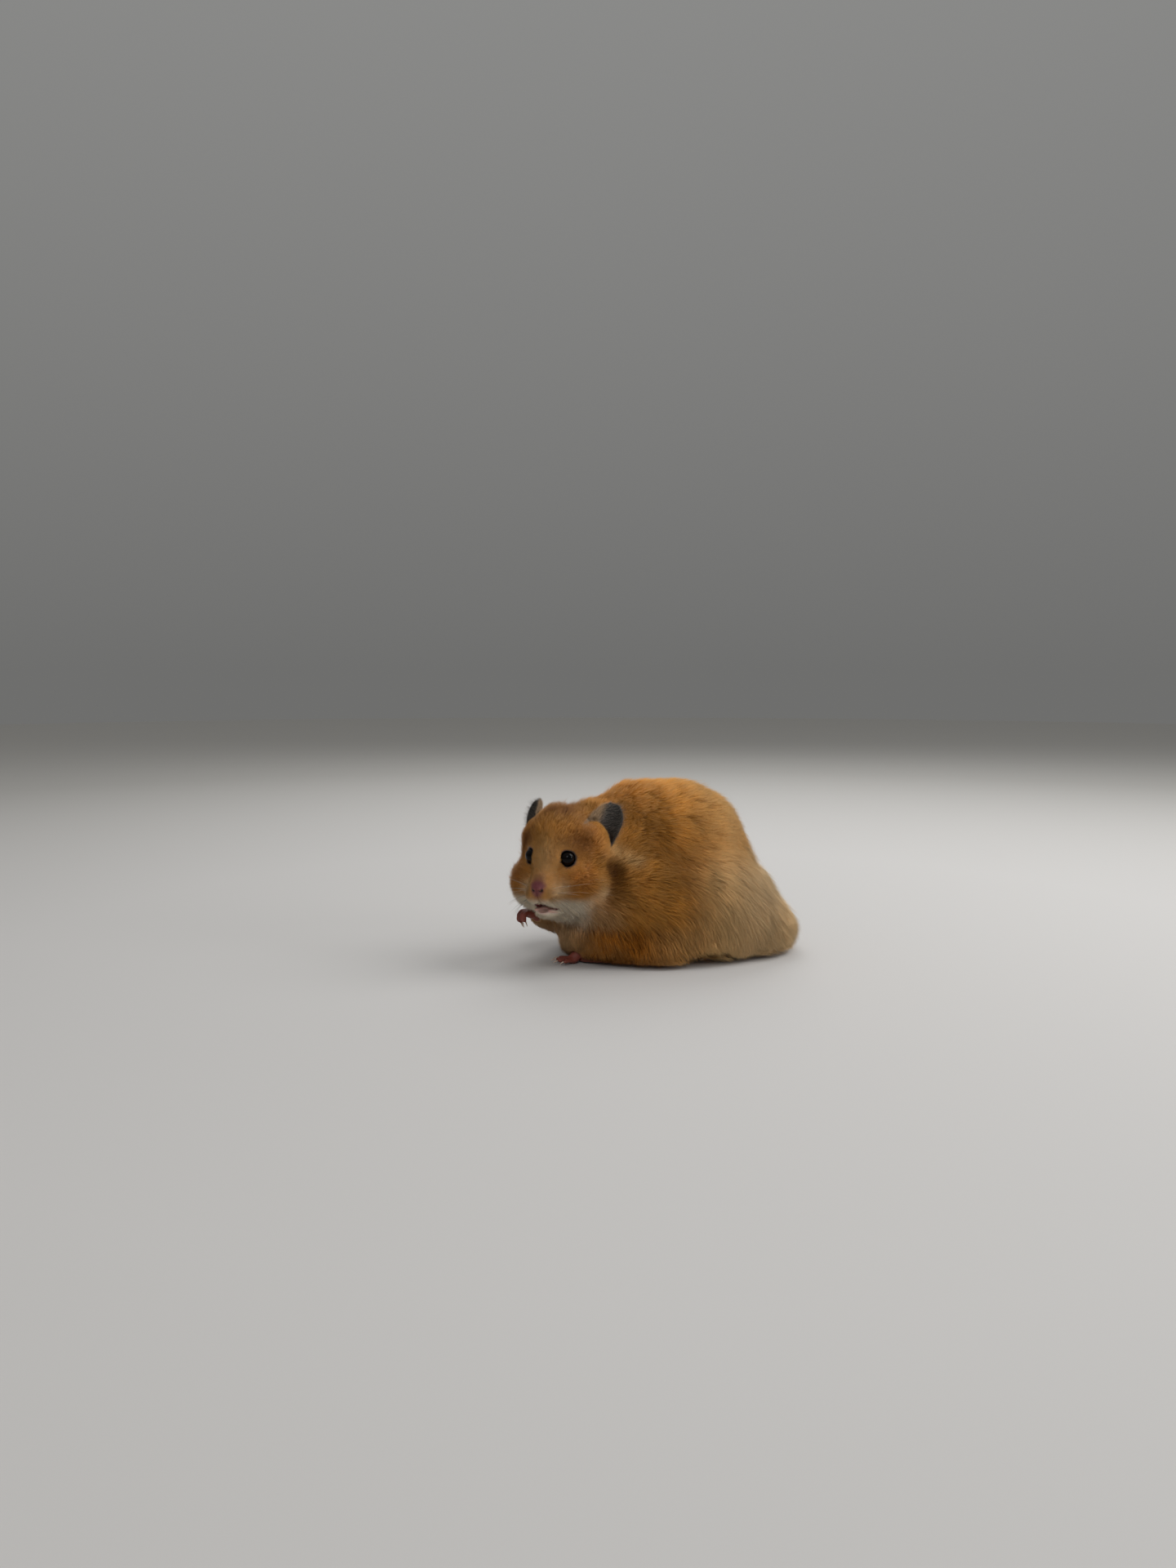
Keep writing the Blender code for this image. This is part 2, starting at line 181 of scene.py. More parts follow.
def linear(colour):
    """An sRGB hex colour as linear numbers."""
    parts = [int(colour[i:i + 2], 16) / 255 for i in (1, 3, 5)]
    return np.array([p / 12.92 if p <= 0.04045 else ((p + 0.055) / 1.055) ** 2.4 for p in parts])


GOLD = linear("#cc8e38")
AMBER = linear("#b56f18")
UMBER = linear("#66380c")
FAWN = linear("#e6bf84")
BUFF = linear("#c69c68")
CREAM = linear("#f4e8d2")
PINK = linear("#884436")
# Dark lid rims, and also the painted shade in the nostrils.
DARK_LIDS_AND_NOSTRIL_SHADE = linear("#1d1614")
NOSE_PINK = linear("#72363a")
SLATE = linear("#1b1815")
EAR_RED = linear("#5c3323")
EAR_PALE = linear("#a89c90")
MOUTH_RED = linear("#6a2224")
LIP = linear("#c4968a")
EYE_BLACK = linear("#030202")
EYE_BROWN = linear("#120a06")
PALE_WHISKER = linear("#cfc4b4")
DARK_WHISKER = linear("#4a3626")


def blend_in(base, colour, share):
    return base + (colour - base) * np.clip(share, 0, 1)[:, None]


def streak(points, start, end, radius):
    """1 along the line between two places given in millimetres, falling off at about the radius."""
    start, end = np.array(start, float), np.array(end, float)
    span = end - start
    share = np.clip((points - start) @ span / (span @ span), 0, 1)
    return np.exp(-((np.linalg.norm(points - start - share[:, None] * span, axis=1) / radius) ** 2))


def trunk_colour(mirrored):
    """Amber in front, gold behind, paler to rump and chest; dark behind the cheeks, partly painted shade;
    painted shade by the floor.
    """
    _, along, height = mirrored.T
    low = step(height, 54, 36)
    colour = np.tile(AMBER, (len(mirrored), 1))
    colour = blend_in(colour, GOLD, 0.45 * step(height, 42, 66) + 0.5 * step(along, -16, 6))
    pale = 0.95 * step(along, 2, 26) * low + 0.5 * step(along, 4, 36) * (1 - low)
    colour = blend_in(colour, FAWN, pale)
    colour = blend_in(colour, CREAM, 0.3 * step(along, 16, 42) * step(height, 50, 34))
    colour = blend_in(colour, FAWN, 0.35 * step(height, 28, 12) * step(along, -14, 4))
    colour = blend_in(colour, BUFF, 0.7 * step(along, -28, -42) * step(height, 42, 22))
    colour = blend_in(colour, CREAM, 0.2 * step(along, -34, -46) * step(height, 34, 22))
    # Dark patches behind the cheek, at mid-flank and on the shoulder behind the ear: partly a darker coat,
    # partly painted shade.
    for centre, radii, tint, share in (
        ((31, -5, 38), (12, 12, 8), 0.55, 0.9),
        ((30, -20, 34), (12, 9, 8), 0.8, 0.9),
        ((25, -12, 55), (12, 9, 10), 0.9, 0.75),
        ((18, -22, 62), (12, 9, 9), 1, 0.6),
    ):
        colour = blend_in(colour, UMBER * tint, share * spot(mirrored, centre, radii))
    # Painted shade along the floor, where the coat nears the ground.
    return blend_in(colour, UMBER * 0.5, 0.8 * step(height, 4, 1))


def head_colour(places):
    """Gold: orange cheeks and temples, a dark crown, pale whisker pads, a creamy bib; painted shade behind the
    cheeks.
    """
    sides = both_sides(places)
    forward, left, up = sides.T
    rightwards = 0.89 * (left - 8.1) - 0.45 * forward
    colour = np.tile(GOLD, (len(places), 1))
    for tint, share, centre, radii in (
        (AMBER, 0.9, (0, 15, -9), (9, 9, 7)),  # cheek
        (AMBER, 0.9, (-7, 13, 7), (8, 8, 8)),  # temple
        (UMBER, 0.6, (-4, 13.5, 7), (8, 6, 8)),
        (UMBER, 0.35, (-2, 8, 7), (5, 4, 4)),  # brow
        (BUFF, 0.8, (3, 0, -2), (9, 6, 9)),  # forehead
        (FAWN, 0.35, (2, 0, 3), (7, 5, 6)),
        (UMBER, 0.85, (-8, 3, 19), (8, 8, 5)),  # crown
        (UMBER, 0.6, (-18, 0, 20), (8, 10, 8)),
        (FAWN, 0.8, (8.5, 9.5, -12), (4.5, 3.2, 4.5)),  # whisker pad
        (CREAM, 0.5, (8.5, 9.5, -12), (4, 3, 4)),
        (UMBER, 0.45, (9.5, 5, -13.5), (2.5, 1.6, 3)),  # beside the nose
        (NOSE_PINK, 0.6, (10.5, 0, -8), (4, 3.6, 3.5)),  # bridge
        (FAWN, 0.5, (-7, 22, -13), (4, 3, 6)),  # behind the cheek
    ):
        colour = blend_in(colour, tint, share * spot(sides, centre, radii))
    lower_edge = -17.0 + 4 * step(rightwards, 7, 15)
    bib = step(up - lower_edge, 2.2, -2.2) * step(forward, -17, -8) * (1 - 0.75 * step(rightwards, 5, 13))
    colour = blend_in(colour, CREAM, bib)
    # Painted shade in the hollow behind the cheek, where the head meets the neck.
    return blend_in(colour, UMBER, 0.9 * spot(sides, (-18, 19, -10), (8, 8, 10)))


def coat_colour(points):
    """The markings, which skin and coat share, and the painted shade mixed into them."""
    places = to_head(points)
    mirrored = points / MM
    mirrored[:, 0] = np.abs(mirrored[:, 0])
    colour = blend_in(trunk_colour(mirrored), head_colour(places), head_share(places))
    return blend_in(colour, FAWN, 0.75 * streak(mirrored, (18, -27, 52), (26, -13, 45), 3))


def bare_colour(points, normals):
    """The colours of nose, lips, lids, ears and paws."""
    places = to_head(points)
    colour = np.tile(PINK, (len(points), 1))
    colour = blend_in(colour, NOSE_PINK, step(from_nose(places), 7, 5))
    colour = blend_in(colour, DARK_LIDS_AND_NOSTRIL_SHADE, step(from_eye(places), EYE_RADIUS + 1.2, EYE_RADIUS + 0.5))
    on_ear = step(places[:, 0], -5, -7) * step(places[:, 2], -3, 0)
    colour = blend_in(colour, SLATE, on_ear)
    colour = blend_in(colour, BUFF * 0.35, 0.8 * on_ear * on_fold(places))
    inner = step(hollow_side(places, normals), 0, 0.4)
    return blend_in(colour, EAR_RED, 0.75 * inner * spot(both_sides(places), (-15, 14.5, 6), (5, 3.5, 7)))


# ---------------------------------------------------------------- materials


def add(tree, kind, links=(), **settings):
    """Adds one shader node. Settings name its properties or inputs; links are (input, output socket)."""
    made = tree.nodes.new(kind)
    for key, value in settings.items():
        if hasattr(made, key):
            setattr(made, key, value)
        else:
            made.inputs[key.replace("_", " ")].default_value = value
    for key, source in links:
        tree.links.new(source, made.inputs[key])
    return made


def new_material(name, **sockets):
    """A Principled material; the sockets hold one value all over."""
    made = bpy.data.materials.new(name)
    made.use_nodes = True
    shader = made.node_tree.nodes["Principled BSDF"]
    for key, value in sockets.items():
        shader.inputs[key.replace("_", " ")].default_value = value
    return made, made.node_tree, shader


def painted_material(name, **sockets):
    """A Principled material that takes its colour from what the mesh is painted with."""
    made, tree, shader = new_material(name, **sockets)
    colour = add(tree, "ShaderNodeAttribute", attribute_name="coat")
    tree.links.new(colour.outputs["Color"], shader.inputs["Base Color"])
    return made


def per_metre(size):
    """The scale of a noise whose spots are this many millimetres across."""
    return 1 / (size * MM)


def hair_material():
    """Hamster hair, fine keratin: a soft gloss along each lock over a matt, pale-tipped coat."""
    return painted_material("hamster_hair", Roughness=0.55, Specular_IOR_Level=0.22)


def skin_material():
    """Living skin, thin and slightly moist where it is bare: mottled, and its pores scatter the gloss."""
    made, tree, shader = new_material(
        "hamster_skin", Roughness=0.5, Specular_IOR_Level=0.4,
        Subsurface_Weight=0.12, Subsurface_Scale=1.2 * MM,
    )
    shader.inputs["Subsurface Radius"].default_value = (1.0, 0.35, 0.2)
    place = add(tree, "ShaderNodeTexCoord")
    colour = add(tree, "ShaderNodeAttribute", attribute_name="coat")
    by_place = [("Vector", place.outputs["Object"])]
    mottle = add(tree, "ShaderNodeTexNoise", by_place, Scale=per_metre(1.43), Detail=3.0)
    shade = add(tree, "ShaderNodeMapRange", [("Value", mottle.outputs["Fac"])], To_Min=0.78, To_Max=1.18)
    tinted = add(
        tree, "ShaderNodeVectorMath", [(0, colour.outputs["Color"]), (1, shade.outputs["Result"])],
        operation="MULTIPLY",
    )
    tree.links.new(tinted.outputs["Vector"], shader.inputs["Base Color"])
    pores = add(tree, "ShaderNodeTexNoise", by_place, Scale=per_metre(0.286), Detail=2.0)
    height = [("Height", pores.outputs["Fac"])]
    bump = add(tree, "ShaderNodeBump", height, Strength=0.35, Distance=0.1 * MM)
    tree.links.new(bump.outputs["Normal"], shader.inputs["Normal"])
    return made


def eye_material():
    """A wet cornea over a near-black iris: all that it gives the eye is depth and sharp highlights."""
    return painted_material("wet_eye", Roughness=0.06, IOR=1.38, Specular_IOR_Level=0.2)


def claw_material():
    """Thin horn, faintly clouded, which gives a claw its dull shine."""
    made, tree, shader = new_material("claw_horn", Roughness=0.35, IOR=1.54)
    place = add(tree, "ShaderNodeTexCoord")
    by_place = [("Vector", place.outputs["Object"])]
    grain = add(tree, "ShaderNodeTexNoise", by_place, Scale=per_metre(0.4), Detail=2.0)
    ramp = add(tree, "ShaderNodeValToRGB", [("Fac", grain.outputs["Fac"])])
    ramp.color_ramp.elements[0].color = (*linear("#a98672"), 1)
    ramp.color_ramp.elements[1].color = (*linear("#e2cdb8"), 1)
    tree.links.new(ramp.outputs["Color"], shader.inputs["Base Color"])
    return made


def paper_material():
    """Matt, pale backdrop paper, a little greyer away from the middle as a painted falloff of light, so that
    the animal stands out.
    """
    made, tree, shader = new_material("matt_paper", Roughness=0.85, Specular_IOR_Level=0.2)
    place = add(tree, "ShaderNodeTexCoord")
    far = add(tree, "ShaderNodeVectorMath", [(0, place.outputs["Object"])], operation="LENGTH")
    share = add(
        tree, "ShaderNodeMapRange", [("Value", far.outputs["Value"])], From_Min=0.3, From_Max=0.95,
    )
    ramp = add(tree, "ShaderNodeValToRGB", [("Fac", share.outputs["Result"])])
    ramp.color_ramp.elements[0].color = (*linear("#d2d0ce"), 1)
    ramp.color_ramp.elements[1].color = (*linear("#bbb9b5"), 1)
    tree.links.new(ramp.outputs["Color"], shader.inputs["Base Color"])
    return made


def whisker_material():
    """Stiff, smooth keratin: a thin bright line along each whisker."""
    return painted_material("whisker", Roughness=0.4, Specular_IOR_Level=0.5)


HAIR = hair_material()
SKIN = skin_material()
WET_EYE = eye_material()
CLAW = claw_material()
WHISKER = whisker_material()

# ---------------------------------------------------------------- tools for meshes


def alone(*pieces):
    """Selects just these objects and makes the first one active."""
    bpy.ops.object.select_all(action="DESELECT")
    for piece in pieces:
        piece.select_set(True)
    bpy.context.view_layer.objects.active = pieces[0]


def modify(piece, kind, **settings):
    """Adds one modifier and applies it."""
    modifier = piece.modifiers.new(kind.lower(), kind)
    for key, value in settings.items():
        setattr(modifier, key, value)
    alone(piece)
    bpy.ops.object.modifier_apply(modifier=modifier.name)


def copy_of(node):
    """A merged copy of a CAD node, to model the skin from."""
    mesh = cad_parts[node].data.copy()
    bm = bmesh.new()
    bm.from_mesh(mesh)
    bmesh.ops.remove_doubles(bm, verts=bm.verts, dist=1e-6)
    bm.to_mesh(mesh)
    bm.free()
    piece = bpy.data.objects.new("copy_of_" + node, mesh)
    bpy.context.scene.collection.objects.link(piece)
    return piece


def places_of(mesh):
    found = np.empty(len(mesh.vertices) * 3, np.float32)
    mesh.vertices.foreach_get("co", found)
    return found.reshape(-1, 3).astype(float)


def normals_of(mesh):
    found = np.empty(len(mesh.vertices) * 3, np.float32)
    mesh.vertices.foreach_get("normal", found)
    return found.reshape(-1, 3).astype(float)


def put_places(mesh, points):
    mesh.vertices.foreach_set("co", points.astype(np.float32).ravel())
    mesh.update()


def relax(mesh, points, share, times):
    """Moves each point towards the middle of its neighbours, by a share for each point."""
    edges = np.empty(len(mesh.edges) * 2, np.int32)
    mesh.edges.foreach_get("vertices", edges)
    first, second = edges.reshape(-1, 2).T
    ends, others = np.concatenate((first, second)), np.concatenate((second, first))
    count = np.maximum(np.bincount(ends, minlength=len(points)), 1)
    for _ in range(times):
        near = np.stack([np.bincount(ends, points[others, i], len(points)) for i in range(3)], 1)
        points = points + (near / count[:, None] - points) * share[:, None]
    return points


def paint(mesh, colours):
    """Stores one linear colour for each vertex."""
    layer = mesh.color_attributes.new("coat", "FLOAT_COLOR", "POINT")
    layer.data.foreach_set("color", np.c_[colours, np.ones(len(colours))].astype(np.float32).ravel())


def tree_of(piece):
    return BVHTree.FromObject(piece, bpy.context.evaluated_depsgraph_get())


def distance_to(tree, points, far=25.0):
    """Millimetres from each point to the surface in the tree, at most far."""
    found = [tree.find_nearest(point, far * MM)[3] for point in points]
    return np.array([far if distance is None else distance / MM for distance in found])


def depth_under(shell, points):
    """How far below the shell of the coat each point is, in millimetres."""
    depths = np.empty(len(points))
    for index, point in enumerate(points):
        near, normal, _, _ = shell.find_nearest(point)
        depths[index] = (near - Vector(point)).dot(normal) / MM
    return depths


def keep_in(shell, points, most):
    """Moves back the points further out of the shell of the coat than the most, in millimetres."""
    for index, point in enumerate(points):
        near, normal, _, _ = shell.find_nearest(point)
        outside = (Vector(point) - near).dot(normal) / MM
        if outside > most[index]:
            points[index] -= np.array(normal) * (outside - most[index]) * MM


def put_in_order(mesh):
    """Sorts a mesh's points and faces, since a boolean leaves them in a different order each run."""
    points = places_of(mesh)
    order = np.lexsort(points.T)
    rank = np.argsort(order).tolist()
    faces = []
    for polygon in mesh.polygons:
        corners = [rank[corner] for corner in polygon.vertices]
        first = corners.index(min(corners))
        faces.append(corners[first:] + corners[:first])
    mesh.clear_geometry()
    mesh.from_pydata(points[order].tolist(), [], sorted(faces))


def joined(pieces, name):
    alone(*pieces)
    bpy.ops.object.join()
    piece = bpy.context.view_layer.objects.active
    piece.name = piece.data.name = name
    return piece


# ---------------------------------------------------------------- the skin

SKIN_VOXEL = 0.42 * MM
SKIN_TRIANGLES = 150000
FLOOR_GAP = 2.0  # millimetres by which the skin goes in further near the floor


def bare_copies(nodes, levels):
    """Ears or paws with their facets rounded off, and the paws' digits parted."""
    pieces = []
    for node in nodes:
        piece = copy_of(node)
        modify(piece, "SUBSURF", levels=levels, render_levels=levels)
        if node in PAWS:
            points = places_of(piece.data)
            points -= normals_of(piece.data) * (0.5 * MM * clefts(points, node))[:, None]
            put_places(piece.data, points)
        pieces.append(piece)
    return pieces


def clefts(points, node):
    """1 in the clefts between a paw's digits: planes from its middle, each between two of its claws."""
    palm = np.array(middle(node))
    claws = sorted(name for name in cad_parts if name.startswith("claw_" + node))
    claws = [np.array(middle(name)) - palm for name in claws]
    side = claws[-1] - claws[0]
    away = points - palm
    found = np.zeros(len(points))
    for first, second in zip(claws, claws[1:]):
        between = (first + second) / 2
        span = np.linalg.norm(between)
        ahead = between / span
        plane = unit((side - ahead * (side @ ahead))[None])[0]
        out = np.linalg.norm(away, axis=1) / span
        groove = np.exp(-((away @ plane / (0.3 * MM)) ** 2)) * step(away @ ahead / span, 0.0, 0.3)
        found = np.maximum(found, groove * step(out, 0.4, 0.65))
    return found * (np.linalg.norm(away, axis=1) < 12 * MM)


def coat_length(points, near_bare):
    """The hair's length in millimetres: least on muzzle, lids and wrists, most on flank and rump."""
    places = to_head(points)
    forward, _, up = places.T
    along, height = points[:, 1] / MM, points[:, 2] / MM
    muzzle = np.linalg.norm(places - (12, 0, -12), axis=1)
    face = 0.9 + 0.2 * np.maximum(muzzle - 5, 0)
    face *= 1 - 0.3 * step(up, 2, 10) * step(forward, -22, -16)
    face = np.minimum(face, 7.5) + 4 * spiky(places)
    face = np.minimum(face, 0.7 + 0.5 * np.maximum(from_eye(places) - EYE_RADIUS - 0.4, 0))
    trunk = 10.5 + 3.5 * step(along, 0, 45) + 1.5 * step(height, 45, 20)
    trunk -= 2.5 * step(along, -34, -46)
    trunk = trunk + (face - trunk) * head_share(places)
    return np.minimum(trunk, 0.8 + 0.55 * near_bare)


def near_bare_parts(points, trees):
    """Millimetres to the nearest ear or forepaw, where the coat runs out."""
    return np.minimum.reduce([distance_to(tree, points) for tree in trees])


def flesh_pieces():
    """Merged copies of nose and furred parts, a little swollen so that they meet and fuse."""
    pieces = []
    for node in (*FURRED, "nose"):
        piece = copy_of(node)
        points, normals = places_of(piece.data), normals_of(piece.data)
        swell = np.full(len(points), 0.6 if node in FURRED[1:] else 0.35)
        places = to_head(points)
        swell *= 1 - step(places[:, 0], -16, -12) * step(places[:, 2], -14, -17)
        put_places(piece.data, points + normals * swell[:, None] * MM)
        pieces.append(piece)
    return pieces


def coat_depth(mesh, points, length):
    """How far the skin goes in from the coat's tips, in millimetres; little under the belly."""
    depth = np.clip(0.36 * length - 0.25, 0, 5.0) + 0.35
    depth *= step(np.linalg.norm(to_head(points) - NOSE, axis=1), 2.6, 6)
    depth += FLOOR_GAP * step(length, 4, 8) * step(points[:, 2] / MM, 7, 1)
    put_places(mesh, points)
    under_belly = step(points[:, 2] / MM, 4, 2) * step(normals_of(mesh)[:, 2], -0.6, -0.9)
    return depth * (1 - 0.8 * under_belly)


def press_in(mesh, shell, points, length):
    """Presses the smoothed flesh in by the coat's depth and keeps it under the shell of the coat."""
    share = 0.5 * step(length, 0.9, 3)
    points = relax(mesh, points, 0.12 + share * 0.8, 25)
    depth = coat_depth(mesh, points, length)
    steps = 6
    for _ in range(steps):
        put_places(mesh, points)
        points = points - normals_of(mesh) * (depth / steps)[:, None] * MM
        points = relax(mesh, points, share, 2)
    long_coat = step(length, 3, 7)
    for portion in (0.8, 0.7):
        keep_in(shell, points, 2.0 * (1 - long_coat) - portion * depth)
        points = relax(mesh, points, 0.5 * long_coat, 6)
    points[:, 2] = np.maximum(points[:, 2], 0.5 * MM)
    put_places(mesh, points)


def build_skin():
    """All flesh as one skin, under the coat's tips by the coat's depth, with lids, nostrils and lips."""
    ears, paws = bare_copies(EARS, 2), bare_copies(PAWS, 3)
    trees = [tree_of(piece) for piece in (*ears, *paws[:2])]
    skin = joined(flesh_pieces(), "skin")
    modify(skin, "REMESH", mode="VOXEL", voxel_size=SKIN_VOXEL)
    modify(skin, "SMOOTH", factor=0.5, iterations=12)
    shell = tree_of(skin)
    weigh(skin, "long coat", 1 - head_share(to_head(places_of(skin.data))))
    modify(skin, "SMOOTH", factor=0.5, iterations=350, vertex_group="long coat")
    points = places_of(skin.data)
    press_in(skin.data, shell, points, coat_length(points, near_bare_parts(points, trees)))
    modify(skin, "REMESH", mode="VOXEL", voxel_size=SKIN_VOXEL)
    shape_face(skin.data)
    limbs = joined([*ears, *paws], "limbs")
    modify(skin, "BOOLEAN", operation="UNION", object=limbs)
    put_in_order(skin.data)
    bpy.data.objects.remove(limbs)
    thin_out(skin)
    colour_skin(skin, trees)
    skin.data.shade_smooth()
    skin.data.materials.clear()
    skin.data.materials.append(SKIN)
    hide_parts(*FLESH)
    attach(skin, "root")
    return skin, shell, trees


def weigh(piece, name, weights):
    """Gives the piece this one vertex group."""
    piece.vertex_groups.clear()
    group = piece.vertex_groups.new(name=name)
    for weight in np.unique(np.round(weights, 2)):
        members = np.flatnonzero(np.abs(weights - weight) < 0.006)
        if weight > 0:
            group.add(members.tolist(), float(weight), "REPLACE")


def refine(mesh, places, centres, radius):
    """Halves the edges near some places of the head, for details finer than the rest of the skin."""
    near = np.min([np.linalg.norm(places - centre, axis=1) for centre in centres], axis=0) < radius
    bm = bmesh.new()
    bm.from_mesh(mesh)
    edges = [edge for edge in bm.edges if near[edge.verts[0].index] and near[edge.verts[1].index]]
    bmesh.ops.subdivide_edges(bm, edges=edges, cuts=1, use_grid_fill=True)
    bm.to_mesh(mesh)
    bm.free()


def mouth_share(places):
    """1 inside the open mouth, a slit that droops towards its corners."""
    forward, left, up = places.T
    line = MOUTH[2] + 1.3 - 0.062 * left**2
    half = 1.0 * np.sqrt(np.clip(1 - (left / 7.0) ** 2, 0, 1))
    return step(np.abs(up - line), half + 0.25, half - 0.15) * (half > 0.05) * step(forward, 1, 3.5)


def lower_lip(places):
    """1 on the bare rim of the lower lip, just under the mouth."""
    forward, left, up = places.T
    line = MOUTH[2] - 0.3 - 0.062 * left**2
    return np.exp(-(((up - line) / 0.42) ** 2)) * step(np.abs(left), 6.5, 4.5) * step(forward, 1, 3.5)


def shape_face(mesh):
    """Lids, nostrils, lips and the corners of the mouth, pressed into the remeshed skin."""
    places = to_head(places_of(mesh))
    eyes = [np.array((0, side * EYE_SPREAD, 0)) for side in (1, -1)]
    refine(mesh, places, [NOSE + (0, 0, -1), NOSE + (0, 0, -6), *eyes], 5.4)
    points = places_of(mesh)
    points = relax(mesh, points, 0.45 * step(to_head(points)[:, 0], -30, -20), 5)
    places = to_head(points)
    for side, eye in zip((1, -1), eyes):
        reach = places - eye
        distance = np.linalg.norm(reach, axis=1)
        looks = EYE_LOOKS * (1, side, 1)
        angle = np.degrees(np.arccos(np.clip(reach @ looks / np.linalg.norm(looks) / distance, -1, 1)))
        lid = EYE_RADIUS + 0.12 + 0.4 * np.exp(-(((angle - 70) / 13) ** 2))
        near = step(distance, EYE_RADIUS + 1.7, EYE_RADIUS + 0.6) * (angle < 118)
        places = places + (reach / distance[:, None]) * ((lid - distance) * near)[:, None]
    places[:, 0] -= 1.8 * mouth_share(places)
    places[:, 0] += 0.5 * lower_lip(places)
    cleft = np.exp(-((places[:, 1] / 0.35) ** 2)) * step(places[:, 2], MOUTH[2] + 1.2, MOUTH[2] + 2.4)
    cleft *= step(places[:, 2], NOSE[2] + 0.6, NOSE[2] - 0.6) * step(places[:, 0], 5, 7)
    places[:, 0] -= 0.6 * cleft
    for side in (1, -1):
        nostril = NOSE + (1.4, side * 1.55, -0.5)
        curl = nostril + (0, side * 0.55, 0.6)
        pit = spot(places, nostril, (1.6, 0.75, 0.4)) + 0.5 * spot(places, curl, (1.6, 0.35, 0.5))
        places[:, 0] -= pit
        places[:, 0] += 0.3 * spot(places, nostril + (0, 0, 0.85), (1.6, 1.0, 0.4))
        places[:, 1] += side * 0.25 * spot(places, curl + (0, side * 0.5, 0), (1.6, 0.5, 0.8))
    put_places(mesh, from_head(places))


def thin_out(skin):
    """Fewer triangles, mostly where the skin is plain, under the long coat."""
    skin.data.calc_loop_triangles()
    ratio = SKIN_TRIANGLES / len(skin.data.loop_triangles)
    modify(skin, "DECIMATE", ratio=ratio, use_collapse_triangulate=True)


def colour_skin(skin, trees):
    """Paints the skin: the coat's colours with their painted shade, a little darker, and bare skin where no
    hair grows.
    """
    points = places_of(skin.data)
    places = to_head(points)
    colour = 0.75 * coat_colour(points)
    bare = step(near_bare_parts(points, trees), 1.2, 0.2)
    bare = np.maximum(bare, step(from_nose(places), 4.2, 2.6))
    bare = np.maximum(bare, step(from_eye(places), EYE_RADIUS + 1.1, EYE_RADIUS + 0.7))
    colour = blend_in(colour, bare_colour(points, normals_of(skin.data)), bare)
    paws = step(points[:, 2] / MM, 6, 4)
    colour = blend_in(colour, PINK, paws)
    # Painted shade in the clefts between the digits, over the grooves pressed into the paws.
    for node in PAWS:
        colour = blend_in(colour, PINK * 0.25, clefts(points, node) * np.maximum(bare, paws))
    # The bare skin under the nose: the nose's pink, darkened by painted shade under the nose.
    under_nose = spot(places, NOSE + (0, 0, -3), (4, 2.4, 2.2))
    colour = blend_in(colour, NOSE_PINK * 0.8, 0.8 * under_nose)
    colour = blend_in(colour, LIP, lower_lip(places) + spot(places, LOWER_LIP, LOWER_LIP_REACH))
    colour = blend_in(colour, MOUTH_RED, 1.3 * mouth_share(places))
    # Painted shade in the openings of the nostrils, over the pits that shape_face presses in.
    for side in (1, -1):
        nostril = NOSE + (1.0, side * 1.6, -0.45)
        nostril_shade = spot(places, nostril, (2.2, 0.75, 0.42))
        nostril_shade += spot(places, nostril + (0, side * 0.6, 0.5), (2.2, 0.4, 0.5))
        colour = blend_in(colour, DARK_LIDS_AND_NOSTRIL_SHADE, 1.2 * nostril_shade)
    paint(skin.data, colour)


# ---------------------------------------------------------------- the coat


def triangles_of(mesh):
    """The corner numbers of each triangle of a mesh, and its corners' places on the unwrap."""
    mesh.calc_loop_triangles()
    loops = np.empty(len(mesh.loop_triangles) * 3, np.int32)
    mesh.loop_triangles.foreach_get("loops", loops)
    vertices = np.empty(len(mesh.loop_triangles) * 3, np.int32)
    mesh.loop_triangles.foreach_get("vertices", vertices)
    unwrap = np.empty(len(mesh.loops) * 2, np.float32)
    mesh.uv_layers.active.data.foreach_get("uv", unwrap)
    return vertices.reshape(-1, 3), unwrap.reshape(-1, 2)[loops].reshape(-1, 3, 2)


def unwrap(piece):
    """An unwrap of the skin's own shape."""
    alone(piece)
    bpy.ops.object.mode_set(mode="EDIT")
    bpy.ops.mesh.select_all(action="SELECT")
    bpy.ops.uv.smart_project(angle_limit=math.radians(70), island_margin=0.002)
    bpy.ops.object.mode_set(mode="OBJECT")


class Ground:
    """The skin as the coat sees it: where roots may stand, their normals and their unwrap."""

    def __init__(self, skin, trees):
        self.points = places_of(skin.data)
        self.normals = normals_of(skin.data)
        self.corners, self.unwrap = triangles_of(skin.data)
        ends = self.points[self.corners]
        crossed = np.cross(ends[:, 1] - ends[:, 0], ends[:, 2] - ends[:, 0])
        self.area = 0.5 * np.linalg.norm(crossed, axis=1)
        self.centre = ends.mean(1)
        self.facing = unit(self.normals[self.corners].mean(1))
        self.near = near_bare_parts(self.centre, trees)
        self.on_ear = near_bare_parts(self.centre, trees[:2]) < 0.15
        self.length = coat_length(self.centre, self.near)

    def roots(self, density, count, seed):
        """Draws roots by density: places, normals, unwrap places and the triangles they stand on."""
        draw = np.random.default_rng(seed)
        weight = np.cumsum(self.area * density)
        spread = (np.arange(count) + draw.uniform(0, 1, count)) / count * weight[-1]
        chosen = np.minimum(np.searchsorted(weight, spread), len(weight) - 1)
        a, b = draw.uniform(0, 1, (2, count))
        over = a + b > 1
        a[over], b[over] = 1 - a[over], 1 - b[over]
        shares = np.stack((1 - a - b, a, b), 1)[:, :, None]
        places = (self.points[self.corners[chosen]] * shares).sum(1)
        normals = unit((self.normals[self.corners[chosen]] * shares).sum(1))
        return places, normals, (self.unwrap[chosen] * shares).sum(1), chosen


def laid(lie, normals):
    """The directions laid flat on the skin."""
    return unit(lie - normals * (lie * normals).sum(1)[:, None])


